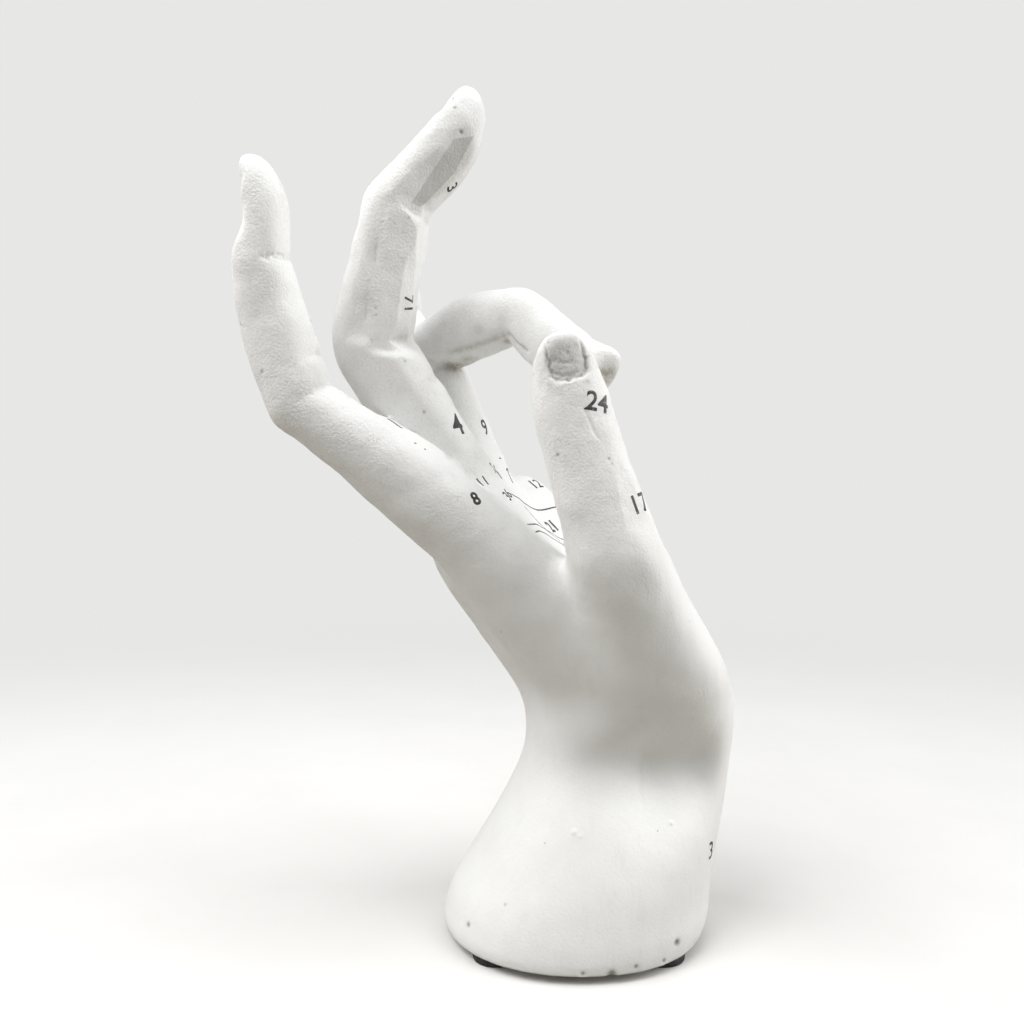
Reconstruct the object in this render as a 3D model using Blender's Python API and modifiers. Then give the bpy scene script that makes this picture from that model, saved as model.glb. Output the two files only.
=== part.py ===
"""A left hand cast in white resin, standing on its flared wrist with four rubber feet under it.

The hand is posed with the ring finger curled down to the thumb and the other fingers raised.
Metres, +Z up. The thumb side is -Y, the palm faces +X and the fingers point up and to -X.
"""

import math
from typing import NamedTuple

import bmesh
import bpy
import numpy as np
from mathutils import Vector


class Section(NamedTuple):
    """Half sizes of a finger or thumb at a joint."""

    side: float
    back: float
    palm: float


class Digit(NamedTuple):
    """One finger: where its bones start, how they point and how thick the flesh round them is."""

    wrist: tuple  # centre of the end that lies in the wrist
    knuckle: tuple  # centre of the knuckle joint
    lengths: tuple  # bones from the knuckle to the tip
    leans: tuple  # degrees up from +X, seen from the thumb side
    drifts: tuple  # degrees away from the thumb side
    hinge: tuple  # the axis that the finger bends about, from the thumb side to the little finger side
    sections: tuple  # at the wrist, the knuckle, each further joint and the tip
    swells: tuple  # how much the back and the palm side swell between joints, as shares
    nail: tuple  # half width and length of the nail
    slender: float  # share of the last bone over which its back thins
    blunt: float  # share of the last bone along which the pad keeps its depth


# Base and feet
BASE_RADIUS = 0.0385
FOOT_RADIUS = 0.0065
FOOT_HEIGHT = 0.0020
FOOT_EDGE = 0.0004
FOOT_INSET = 0.0
FOOT_RING_RADIUS = BASE_RADIUS - FOOT_INSET - FOOT_RADIUS
FOOT_SIDES = 32
FOOT_NAMES = ("back_right", "back_left", "front_left", "front_right")
GLUE_GAP = 0.0003
UNDERSIDE = FOOT_HEIGHT + GLUE_GAP

# Fingers and thumb
INDEX = Digit(
    wrist=(0.0100, -0.014, 0.0800),
    knuckle=(-0.0337, -0.020, 0.1199),
    lengths=(0.0516, 0.0376, 0.0280),
    leans=(142.7, 102.8, 95.2),
    drifts=(-4.4, -3.1, -2.1),
    hinge=(0.14, 0.98, 0.08),
    sections=(
        Section(0.0110, 0.0190, 0.0140),
        Section(0.0105, 0.0118, 0.0115),
        Section(0.0096, 0.0080, 0.0090),
        Section(0.0083, 0.0084, 0.0066),
        Section(0.0068, 0.0028, 0.0077),
    ),
    swells=((0.14, 0.02), (-0.08, 0.06), (0.26, 0.06)),
    nail=(0.0050, 0.0110),
    slender=0.42,
    blunt=0.42,
)
MIDDLE = Digit(
    wrist=(0.0080, -0.003, 0.0800),
    knuckle=(-0.0280, -0.003, 0.1246),
    lengths=(0.0524, 0.0377, 0.0394),
    leans=(123.2, 82.0, 52.0),
    drifts=(-5.5, -3.0, -1.5),
    hinge=(0.26, 0.96, 0.06),
    sections=(
        Section(0.0110, 0.0190, 0.0110),
        Section(0.0105, 0.0135, 0.0085),
        Section(0.0098, 0.0122, 0.0100),
        Section(0.0088, 0.0080, 0.0087),
        Section(0.0072, 0.0050, 0.0107),
    ),
    swells=((0.02, 0.00), (0.04, 0.00), (0.06, 0.06)),
    nail=(0.0054, 0.0125),
    slender=0.70,
    blunt=0.42,
)
RING = Digit(
    wrist=(0.0090, 0.009, 0.0790),
    knuckle=(-0.0234, 0.014, 0.1263),
    lengths=(0.0469, 0.0305, 0.0354),
    leans=(114.5, 16.6, -32.0),
    drifts=(-2.4, -27.3, -28.4),
    hinge=(0.20, 0.97, 0.10),
    sections=(
        Section(0.0110, 0.0180, 0.0110),
        Section(0.0102, 0.0125, 0.0058),
        Section(0.0092, 0.0081, 0.0075),
        Section(0.0080, 0.0088, 0.0071),
        Section(0.0066, 0.0050, 0.0114),
    ),
    swells=((0.02, 0.00), (0.04, 0.00), (0.30, 0.06)),
    nail=(0.0050, 0.0110),
    slender=0.70,
    blunt=0.82,
)
LITTLE = Digit(
    wrist=(0.0110, 0.019, 0.0780),
    knuckle=(-0.0254, 0.032, 0.1262),
    lengths=(0.0373, 0.0283, 0.0255),
    leans=(121.8, 112.0, 98.0),
    drifts=(12.4, 8.1, 4.7),
    hinge=(0.14, 0.98, 0.14),
    sections=(
        Section(0.0100, 0.0150, 0.0110),
        Section(0.0092, 0.0105, 0.0078),
        Section(0.0082, 0.0084, 0.0080),
        Section(0.0070, 0.0068, 0.0072),
        Section(0.0056, 0.0042, 0.0056),
    ),
    swells=((0.02, 0.00), (0.04, 0.04), (0.06, 0.04)),
    nail=(0.0040, 0.0085),
    slender=0.70,
    blunt=0.42,
)
THUMB = Digit(
    wrist=(0.0248, -0.016, 0.0716),
    knuckle=(0.0092, -0.030, 0.1102),
    lengths=(0.0391, 0.0222),
    leans=(107.0, 101.9),
    drifts=(3.2, -3.1),
    hinge=(-0.97, -0.10, -0.20),
    sections=(
        Section(0.0170, 0.0110, 0.0150),
        Section(0.0130, 0.0108, 0.0128),
        Section(0.0106, 0.0098, 0.0114),
        Section(0.0082, 0.0080, 0.0118),
    ),
    swells=((0.02, 0.02), (0.02, 0.04)),
    nail=(0.0050, 0.0119),
    slender=0.70,
    blunt=0.50,
)
FINGERS = (INDEX, MIDDLE, RING, LITTLE)
DIGITS = FINGERS + (THUMB,)


class Slice(NamedTuple):
    """A cross-section of the wrist and palm: its centre, its tilt towards the back, and its half sizes."""

    centre: tuple
    tilt: float
    back: float
    palm: float
    thumb_side: float
    far_side: float


class Flare(NamedTuple):
    """A level slice near the casting's foot: its place, and how far each side stands outside the base."""

    x: float
    above: float
    back: float
    palm: float
    thumb_side: float
    far_side: float


FOOT_OF_CASTING = (
    Flare(0.0003, -0.0083, -0.0085, -0.0085, -0.0065, -0.0065),
    Flare(0.0003, -0.0043, -0.0035, -0.0045, -0.0013, -0.0030),
    Flare(0.0003, 0.0007, 0.0003, -0.0011, 0.0000, -0.0009),
    Flare(0.0015, 0.0057, 0.0005, -0.0008, -0.0006, -0.0011),
    Flare(0.0023, 0.0107, -0.0006, -0.0013, -0.0019, -0.0019),
    Flare(0.0050, 0.0184, -0.0027, -0.0030, -0.0040, -0.0040),
)
BODY = (
    Slice((0.0105, 0.000, 0.0358), 0, 0.0326, 0.0330, 0.0295, 0.0300),
    Slice((0.0155, 0.001, 0.0500), 2, 0.0312, 0.0305, 0.0255, 0.0270),
    Slice((0.0155, 0.001, 0.0630), 12, 0.0305, 0.0314, 0.0255, 0.0270),
    Slice((0.0080, 0.002, 0.0790), 30, 0.0268, 0.0240, 0.0245, 0.0290),
    Slice((-0.0050, 0.004, 0.0950), 38, 0.0248, 0.0145, 0.0250, 0.0310),
    Slice((-0.0170, 0.005, 0.1110), 38, 0.0244, 0.0100, 0.0255, 0.0315),
    Slice((-0.0245, 0.005, 0.1205), 38, 0.0226, 0.0098, 0.0250, 0.0300),
    Slice((-0.0290, 0.005, 0.1265), 38, 0.0160, 0.0080, 0.0230, 0.0270),
    Slice((-0.0310, 0.005, 0.1290), 38, 0.0040, 0.0040, 0.0180, 0.0220),
)


class Mound(NamedTuple):
    """A pad of flesh between two points, round at both ends: half sizes across, and towards the palm."""

    start: tuple
    end: tuple
    hinge: tuple
    first: Section
    last: Section


BALL_OF_THUMB = Mound(
    start=(0.0270, -0.008, 0.0700),
    end=(0.0135, -0.018, 0.1060),
    hinge=(-0.97, -0.10, -0.20),
    first=Section(0.0180, 0.0120, 0.0213),
    last=Section(0.0125, 0.0120, 0.0120),
)
OUTER_PALM = Mound(
    start=(0.0260, 0.016, 0.0680),
    end=(-0.0152, 0.0275, 0.1196),
    hinge=(0.14, 0.98, 0.14),
    first=Section(0.0140, 0.0140, 0.0150),
    last=Section(0.0115, 0.0120, 0.0120),
)
THUMB_WEB = Mound(
    start=(0.0140, -0.019, 0.0800),
    end=(-0.0100, -0.018, 0.1020),
    hinge=(0.30, 0.95, 0.10),
    first=Section(0.0110, 0.0130, 0.0110),
    last=Section(0.0095, 0.0120, 0.0090),
)
MOUNDS = (BALL_OF_THUMB, OUTER_PALM, THUMB_WEB)


class Dent(NamedTuple):
    """A soft hollow: its middle, how far it reaches along X and Z, and how deep it goes towards +Y."""

    middle: tuple
    across: float
    height: float
    depth: float


HEEL_HOLLOW = Dent((0.0290, -0.0215, 0.0490), 0.0130, 0.0130, 0.0085)
DENT_REACH = 0.018


class Flat(NamedTuple):
    """A face that flattens a bone: which way it faces round the bone, how far out it is and where it runs."""

    digit: Digit
    bone: int
    turn: float  # degrees from the back of the finger
    depth: float
    start: float  # share of the bone's length
    end: float


FLATS = (
    Flat(MIDDLE, 0, 264.0, 0.0092, 0.35, 0.95),
    Flat(MIDDLE, 1, 206.0, 0.0083, 0.06, 0.94),
    Flat(MIDDLE, 1, 262.0, 0.0082, 0.06, 0.94),
    Flat(MIDDLE, 2, 236.0, 0.0076, 0.10, 0.70),
    Flat(RING, 0, 180.0, 0.0064, 0.50, 0.92),
    Flat(RING, 1, 215.0, 0.0074, 0.10, 0.85),
)
FLAT_FADE = 0.12  # share of the bone's length
FLAT_SPAN = 1.5  # in half widths of the finger

WEB_REACH = 0.0090
WEB_LENGTH = 0.0170
WEB_THICKNESS = 0.0135

# Where the palm and wrist lie, for softening them
WRIST = (0.014, 0.0, 0.070)
HAND_AXIS = (-0.53, -0.04, 0.85)
FLESH_END = 0.078
FLESH_FADE = 0.020
RIM_HEIGHT = 0.012

# How square the sections are: 2 is an ellipse
FINGER_SQUARENESS = 2.3
BODY_SQUARENESS = 2.15
TIP_SQUARENESS = 2.2

# A bone is round at both ends and a little narrower half way along
CAP_STEPS = 7
BONE_STEPS = 9
CAP_REACH = 0.985
BONE_WAIST = 0.03

# A fingertip, in shares of the last bone's length
TIP_STEPS = 20
TIP_LIFT = 0.5
TIP_SLENDER = 0.7
PAD_SWELL = 0.10
PAD_END = 0.8
WIDTH_KEPT = 0.55
BACK_KEPT = 0.86
LIFT_FROM = 0.3
TIP_LEAST = 0.0003

# Nails and creases
NAIL_FREE_EDGE = 0.0008
NAIL_SQUARENESS = 3.0
NAIL_SINK = -0.0004
NAIL_RISE = 0.00035
NAIL_GROOVE = 0.0006
NAIL_GROOVE_DEPTH = 0.0006
NAIL_GROOVE_FADE = 0.8
NAIL_FOLD = 0.00025
NAIL_FOLD_OUT = 0.0015
NAIL_FACING = (0.1, 0.5)
CREASE_DEPTH = 0.0006
CREASE_WIDTH = 0.0008
CREASE_FACING = (0.05, 0.55)
CREASE_SPAN = 3.0

# How the shapes are fused and smoothed
VOXEL = 0.0008
SMOOTH_STEPS = 20
FLESH_STEPS = 240
FLESH_LEVELS = 10
SMOOTH_STRENGTH = 0.5
MOST_TRIANGLES = 12000
RING_POINTS = 32
SLICES_PER_GAP = 5
FOOT_EDGE_STEPS = 2
SHARP_ANGLE = 50.0

RESIN = ("white_resin", (0.86, 0.86, 0.84), 0.55)
RUBBER = ("black_rubber", (0.02, 0.02, 0.022), 0.8)


def clear_scene():
    for item in list(bpy.data.objects):
        bpy.data.objects.remove(item, do_unlink=True)


def material(name, colour, roughness):
    made = bpy.data.materials.new(name)
    made.use_nodes = True
    shader = made.node_tree.nodes["Principled BSDF"]
    shader.inputs["Base Color"].default_value = (*colour, 1.0)
    shader.inputs["Roughness"].default_value = roughness
    shader.inputs["Metallic"].default_value = 0.0
    return made


def unit(values):
    return Vector(values).normalized()


def direction(lean, drift):
    lean, drift = math.radians(lean), math.radians(drift)
    return Vector((math.cos(lean) * math.cos(drift), math.sin(drift), math.sin(lean) * math.cos(drift)))


def joints_of(digit):
    """The wrist end, the knuckle, the further joints and the tip."""
    points = [Vector(digit.wrist), Vector(digit.knuckle)]
    for length, lean, drift in zip(digit.lengths, digit.leans, digit.drifts):
        points.append(points[-1] + direction(lean, drift) * length)
    return points


def smoothstep(t):
    t = min(1.0, max(0.0, t))
    return t * t * (3 - 2 * t)


def mix(a, b, t):
    return a + (b - a) * t


def ring(centre, side, back, half_side, half_back, half_palm, squareness=FINGER_SQUARENESS):
    """A rounded section: half_side to both sides, half_back along back, and half_palm against it."""
    points = []
    for step in range(RING_POINTS):
        angle = 2 * math.pi * step / RING_POINTS
        across = math.copysign(abs(math.cos(angle)) ** (2 / squareness), math.cos(angle))
        rise = math.copysign(abs(math.sin(angle)) ** (2 / squareness), math.sin(angle))
        height = half_back if rise > 0 else half_palm
        points.append(centre + side * (across * half_side) + back * (rise * height))
    return points


def loft(target, rings):
    """Adds a closed skin over the rings to a bmesh."""
    rows = [[target.verts.new(point) for point in points] for points in rings]
    for low, high in zip(rows, rows[1:]):
        for k in range(RING_POINTS):
            following = (k + 1) % RING_POINTS
            target.faces.new((low[k], low[following], high[following], high[k]))
    target.faces.new(list(reversed(rows[0])))
    target.faces.new(rows[-1])


def frame_of(along, hinge):
    """The side and back directions of a bone that points along and bends about hinge."""
    side = (hinge - along * hinge.dot(along)).normalized()
    back = along.cross(side).normalized()
    return side, back


def bone(target, start, end, hinge, first, last, back_swell=0.0, palm_swell=0.0):
    """One bone with its flesh, round at both ends, so that it meets its neighbour in a knuckle."""
    along = (end - start).normalized()
    length = (end - start).length
    side, back = frame_of(along, hinge)
    stations = []
    for k in range(CAP_STEPS):
        angle = math.pi / 2 * (1 - k / CAP_STEPS) * CAP_REACH
        stations.append((-math.sin(angle), math.cos(angle), 0.0))
    for k in range(BONE_STEPS + 1):
        stations.append((0.0, 1.0, k / BONE_STEPS))
    for k in range(1, CAP_STEPS + 1):
        angle = math.pi / 2 * k / CAP_STEPS * CAP_REACH
        stations.append((math.sin(angle), math.cos(angle), 1.0))
    rings = []
    for offset, scale, t in stations:
        ease = smoothstep(t)
        swell = math.sin(math.pi * t)
        half_side = mix(first.side, last.side, ease) * (1 - BONE_WAIST * swell) * scale
        half_back = mix(first.back, last.back, ease) * (1 + back_swell * swell) * scale
        half_palm = mix(first.palm, last.palm, ease) * (1 + palm_swell * swell) * scale
        reach = offset * (mix(first.back, last.back, t) + mix(first.palm, last.palm, t)) / 2
        rings.append(ring(start + along * (length * t + reach), side, back, half_side, half_back, half_palm))
    loft(target, rings)


def rounded_off(t, start):
    """1 up to start, then falling to 0 at t = 1 like the end of an oval."""
    past = min(1.0, max(0.0, (t - start) / (1 - start)))
    return (1 - past**TIP_SQUARENESS) ** 0.5


def fingertip(target, start, end, hinge, first, last, slender, blunt):
    """The last bone: straight along the nail side, full in the pad, and blunt at the end."""
    along = (end - start).normalized()
    length = (end - start).length
    side, back = frame_of(along, hinge)
    rings = []
    for k in range(CAP_STEPS):
        angle = math.pi / 2 * (1 - k / CAP_STEPS) * CAP_REACH
        scale = math.cos(angle)
        centre = start - along * (math.sin(angle) * (first.back + first.palm) / 2)
        rings.append(ring(centre, side, back, first.side * scale, first.back * scale, first.palm * scale))
    lift = last.back * TIP_LIFT
    for k in range(TIP_STEPS + 1):
        t = math.sin(math.pi / 2 * k / TIP_STEPS)
        ease = smoothstep(t / TIP_SLENDER)
        thinning = smoothstep(t / slender)
        width = mix(first.side, last.side, ease) * rounded_off(t, WIDTH_KEPT)
        top = mix(first.back, last.back - lift, thinning) * rounded_off(t, BACK_KEPT) + lift * thinning
        pad = 1 + PAD_SWELL * math.sin(math.pi * min(1.0, t / PAD_END))
        depth = mix(first.palm, last.palm, ease) * pad
        depth = (depth + lift * ease) * rounded_off(t, blunt) - lift * ease
        middle = lift * smoothstep((t - LIFT_FROM) / (1 - LIFT_FROM))
        centre = start + along * (length * t) + back * middle
        sizes = (max(TIP_LEAST, size) for size in (width, top - middle, depth + middle))
        rings.append(ring(centre, side, back, *sizes))
    loft(target, rings)


def add_digit(target, digit):
    points = joints_of(digit)
    hinge = unit(digit.hinge)
    for k, swells in enumerate(digit.swells[: len(points) - 2]):
        bone(target, points[k], points[k + 1], hinge, digit.sections[k], digit.sections[k + 1], *swells)
    fingertip(target, points[-2], points[-1], hinge, *digit.sections[-2:], digit.slender, digit.blunt)


def add_webs(target):
    """The folds of skin between the fingers, a little past the knuckles."""
    roots = []
    for finger in FINGERS:
        start, end = joints_of(finger)[1:3]
        roots.append(start + (end - start).normalized() * WEB_REACH)
    web = Section(WEB_LENGTH / 2, WEB_THICKNESS / 2, WEB_THICKNESS / 2)
    for root, following in zip(roots, roots[1:]):
        bone(target, root, following, unit(HAND_AXIS), web, web)


def resampled(slices):
    """The body's slices with smooth ones between them, on a curve through all of them."""
    table = np.array([[*s.centre, s.tilt, s.back, s.palm, s.thumb_side, s.far_side] for s in slices])
    padded = np.vstack([2 * table[:1] - table[1:2], table, 2 * table[-1:] - table[-2:-1]])
    rows = []
    for k in range(len(table) - 1):
        p0, p1, p2, p3 = padded[k : k + 4]
        for step in range(SLICES_PER_GAP):
            t = step / SLICES_PER_GAP
            square = (2 * p0 - 5 * p1 + 4 * p2 - p3) * t**2
            cube = (3 * p1 - p0 - 3 * p2 + p3) * t**3
            rows.append(0.5 * (2 * p1 + (p2 - p0) * t + square + cube))
    rows.append(table[-1])
    return rows


def flare_slice(flare):
    sizes = (BASE_RADIUS + more for more in (flare.back, flare.palm, flare.thumb_side, flare.far_side))
    return Slice((flare.x, 0.0, UNDERSIDE + flare.above), 0.0, *sizes)


def add_body(target):
    """The flared wrist and the palm, up to the knuckles."""
    rings = []
    slices = tuple(flare_slice(flare) for flare in FOOT_OF_CASTING) + BODY
    for x, y, z, tilt, back, palm, thumb_side, far_side in resampled(slices):
        tilt = math.radians(tilt)
        centre = Vector((x, y + (far_side - thumb_side) / 2, z))
        towards_back = Vector((-math.cos(tilt), 0, -math.sin(tilt)))
        half_side = (thumb_side + far_side) / 2
        rings.append(ring(centre, Vector((0, 1, 0)), towards_back, half_side, back, palm, BODY_SQUARENESS))
    loft(target, rings)


def mesh_object(name, mesh, collection):
    made = bpy.data.objects.new(name, mesh)
    collection.objects.link(made)
    return made


def with_modifiers_applied(target):
    """Bakes the object's modifiers into its mesh."""
    graph = bpy.context.evaluated_depsgraph_get()
    baked = bpy.data.meshes.new_from_object(target.evaluated_get(graph))
    target.modifiers.clear()
    target.data = baked


def positions(mesh):
    points = np.empty(len(mesh.vertices) * 3)
    mesh.vertices.foreach_get("co", points)
    return points.reshape(-1, 3)


def eased(values):
    clipped = np.clip(values, 0.0, 1.0)
    return clipped * clipped * (3 - 2 * clipped)


def rising(values, low, high):
    """0 below low, 1 above high, smooth between."""
    return eased((values - low) / (high - low))


def fleshiness(points):
    """1 in the palm and wrist, fading to 0 at the knuckles and at the foot of the casting."""
    along = (points - np.array(WRIST)) @ np.array(unit(HAND_AXIS))
    below_knuckles = eased((FLESH_END - along) / FLESH_FADE)
    above_rim = eased((points[:, 2] - RIM_HEIGHT) / FLESH_FADE)
    return below_knuckles * above_rim


def fuse(hand):
    remesh = hand.modifiers.new("fuse", "REMESH")
    remesh.mode = "VOXEL"
    remesh.voxel_size = VOXEL
    with_modifiers_applied(hand)


def soften(hand):
    """Rounds every join a little, and the palm and wrist a lot."""
    flesh = hand.vertex_groups.new(name="flesh")
    weights = np.rint(fleshiness(positions(hand.data)) * FLESH_LEVELS).astype(int)
    for level in range(1, FLESH_LEVELS + 1):
        flesh.add(np.flatnonzero(weights == level).tolist(), level / FLESH_LEVELS, "REPLACE")
    for name, steps, group in (("joins", SMOOTH_STEPS, ""), ("flesh", FLESH_STEPS, "flesh")):
        smooth = hand.modifiers.new(name, "SMOOTH")
        smooth.factor = SMOOTH_STRENGTH
        smooth.iterations = steps
        smooth.vertex_group = group
    with_modifiers_applied(hand)


def normals(mesh):
    facing = np.empty(len(mesh.vertices) * 3)
    mesh.vertices.foreach_get("normal", facing)
    return facing.reshape(-1, 3)


def bell(distance, width):
    """1 at no distance, falling smoothly to 0 at a few widths."""
    return np.exp(-((distance / width) ** 2))


def carve_nail(points, facing, digit):
    """How far each point moves outwards for the nail: a plate, the groove round it and the fold outside."""
    end, tip = (np.array(point) for point in joints_of(digit)[-2:])
    along = (tip - end) / np.linalg.norm(tip - end)
    side, back = (np.array(axis) for axis in frame_of(Vector(along), unit(digit.hinge)))
    half_width, length = digit.nail
    offset = points - tip
    across = offset @ side / half_width
    middle = offset @ along + NAIL_FREE_EDGE + length / 2
    lengthwise = middle / (length / 2)
    corners = np.abs(across) ** NAIL_SQUARENESS + np.abs(lengthwise) ** NAIL_SQUARENESS
    outside = (corners ** (1 / NAIL_SQUARENESS) - 1) * half_width
    on_back = rising(facing @ back, *NAIL_FACING) * ((offset @ back) > -half_width)
    near = on_back * (np.abs(offset @ along) < 2 * length)
    from_cuticle = np.clip((lengthwise + 1) / 2, 0, 1)
    plate = mix(NAIL_SINK, NAIL_RISE, from_cuticle) * eased(-outside / NAIL_GROOVE)
    groove = -NAIL_GROOVE_DEPTH * bell(outside - NAIL_GROOVE / 2, NAIL_GROOVE)
    groove *= 1 - eased(lengthwise / NAIL_GROOVE_FADE)
    fold = NAIL_FOLD * bell(outside - NAIL_FOLD_OUT, NAIL_GROOVE) * (1 - eased(lengthwise))
    return near * (plate + groove + fold)


def carve_crease(points, facing, digit, joint):
    """How far each point moves for a crease across the palm side of a joint."""
    before, here, after = (np.array(point) for point in joints_of(digit)[joint - 1 : joint + 2])
    along = (after - here) / np.linalg.norm(after - here) + (here - before) / np.linalg.norm(here - before)
    along /= np.linalg.norm(along)
    back = np.array(frame_of(Vector(along), unit(digit.hinge))[1])
    offset = points - here
    on_palm = rising(-facing @ back, *CREASE_FACING)
    near = np.linalg.norm(offset, axis=1) < CREASE_SPAN * digit.sections[joint].side
    return -CREASE_DEPTH * on_palm * near * bell(offset @ along, CREASE_WIDTH)


def press_dent(points, dent):
    """Hollows the side that faces the thumb."""
    offset = points - np.array(dent.middle)
    near = 1 - rising(offset[:, 1], 0.0, DENT_REACH)
    points[:, 1] += dent.depth * near * bell(offset[:, 0], dent.across) * bell(offset[:, 2], dent.height)


def press_flat(points, flat):
    """Moves what stands outside the flat's plane back onto it."""
    start, end = (np.array(point) for point in joints_of(flat.digit)[flat.bone + 1 : flat.bone + 3])
    along = (end - start) / np.linalg.norm(end - start)
    side, back = (np.array(axis) for axis in frame_of(Vector(along), unit(flat.digit.hinge)))
    turn = math.radians(flat.turn)
    out = back * math.cos(turn) + side * math.sin(turn)
    offset = points - start
    place = offset @ along / np.linalg.norm(end - start)
    near = rising(place, flat.start - FLAT_FADE, flat.start)
    near *= 1 - rising(place, flat.end, flat.end + FLAT_FADE)
    across = np.linalg.norm(offset - np.outer(offset @ along, along), axis=1)
    near *= across < FLAT_SPAN * flat.digit.sections[flat.bone + 1].side
    points -= np.outer(near * np.maximum(offset @ out - flat.depth, 0.0), out)


def carve(hand):
    """The hollow of the heel, the flats on the fingers, the nails, and the creases inside the joints."""
    points = positions(hand.data)
    press_dent(points, HEEL_HOLLOW)
    for flat in FLATS:
        press_flat(points, flat)
    hand.data.vertices.foreach_set("co", points.ravel())
    hand.data.update()
    facing = normals(hand.data)
    moves = np.zeros(len(points))
    for digit in DIGITS:
        moves += carve_nail(points, facing, digit)
        for joint in range(2, len(digit.lengths) + 1):
            moves += carve_crease(points, facing, digit, joint)
    points += facing * moves[:, None]
    hand.data.vertices.foreach_set("co", points.ravel())
    hand.data.update()


def lighten(hand):
    """Fewer triangles, with the most where the form curves most."""
    triangles = sum(len(face.vertices) - 2 for face in hand.data.polygons)
    fewer = hand.modifiers.new("lighten", "DECIMATE")
    fewer.ratio = MOST_TRIANGLES / triangles
    with_modifiers_applied(hand)


def cut_flat(hand):
    """Cuts the casting's underside to a plane."""
    shape = bmesh.new()
    shape.from_mesh(hand.data)
    everything = shape.verts[:] + shape.edges[:] + shape.faces[:]
    cut = bmesh.ops.bisect_plane(
        shape, geom=everything, plane_co=(0, 0, UNDERSIDE), plane_no=(0, 0, 1), clear_inner=True
    )
    rim = [item for item in cut["geom_cut"] if isinstance(item, bmesh.types.BMEdge)]
    bmesh.ops.edgeloop_fill(shape, edges=rim)
    bmesh.ops.recalc_face_normals(shape, faces=shape.faces)
    shape.to_mesh(hand.data)
    shape.free()


def build_hand(collection):
    shape = bmesh.new()
    add_body(shape)
    for digit in DIGITS:
        add_digit(shape, digit)
    add_webs(shape)
    for mound in MOUNDS:
        bone(shape, Vector(mound.start), Vector(mound.end), unit(mound.hinge), mound.first, mound.last)
    bmesh.ops.recalc_face_normals(shape, faces=shape.faces)
    mesh = bpy.data.meshes.new("hand_casting")
    shape.to_mesh(mesh)
    shape.free()
    hand = mesh_object("hand_casting", mesh, collection)
    fuse(hand)
    soften(hand)
    carve(hand)
    lighten(hand)
    cut_flat(hand)
    hand.data.shade_smooth()
    hand.data.set_sharp_from_angle(angle=math.radians(SHARP_ANGLE))
    hand.data.materials.append(material(*RESIN))
    return hand


def build_feet(collection):
    """Four self-adhesive rubber discs, a hair below the underside that they are stuck to."""
    shape = bmesh.new()
    bmesh.ops.create_cone(
        shape, cap_ends=True, segments=FOOT_SIDES,
        radius1=FOOT_RADIUS, radius2=FOOT_RADIUS, depth=FOOT_HEIGHT,
    )
    mesh = bpy.data.meshes.new("foot_pad")
    shape.to_mesh(mesh)
    shape.free()
    mesh.shade_smooth()
    mesh.set_sharp_from_angle(angle=math.radians(SHARP_ANGLE))
    mesh.materials.append(material(*RUBBER))
    feet = []
    for place, name in enumerate(FOOT_NAMES):
        angle = 2 * math.pi * (place + 0.5) / len(FOOT_NAMES)
        foot = mesh_object("foot_pad_" + name, mesh, collection)
        foot.location = (
            FOOT_RING_RADIUS * math.cos(angle), FOOT_RING_RADIUS * math.sin(angle), FOOT_HEIGHT / 2
        )
        edge = foot.modifiers.new("edge", "BEVEL")
        edge.width = FOOT_EDGE
        edge.segments = FOOT_EDGE_STEPS
        edge.limit_method = "ANGLE"
        feet.append(foot)
    return feet


def stand_on_origin(hand, feet):
    """Moves everything level so that the origin is under the middle of the hand's outline from above."""
    points = positions(hand.data)
    middle = (points.min(axis=0) + points.max(axis=0)) / 2
    shift = Vector((-middle[0], -middle[1], 0.0))
    for piece in [hand] + feet:
        piece.location += shift


def main():
    clear_scene()
    parts = bpy.data.collections.new("palmistry_hand")
    bpy.context.scene.collection.children.link(parts)
    hand = build_hand(parts)
    stand_on_origin(hand, build_feet(parts))


if __name__ == "__main__":
    main()
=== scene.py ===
"""The looks of the cast resin palmistry hand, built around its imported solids.

Metres, +Z up. The palm faces +X and the thumb side faces -Y, towards the camera.
"""

import math
from typing import NamedTuple

import bmesh
import bpy
import numpy as np
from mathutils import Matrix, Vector
from mathutils.bvhtree import BVHTree


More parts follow.
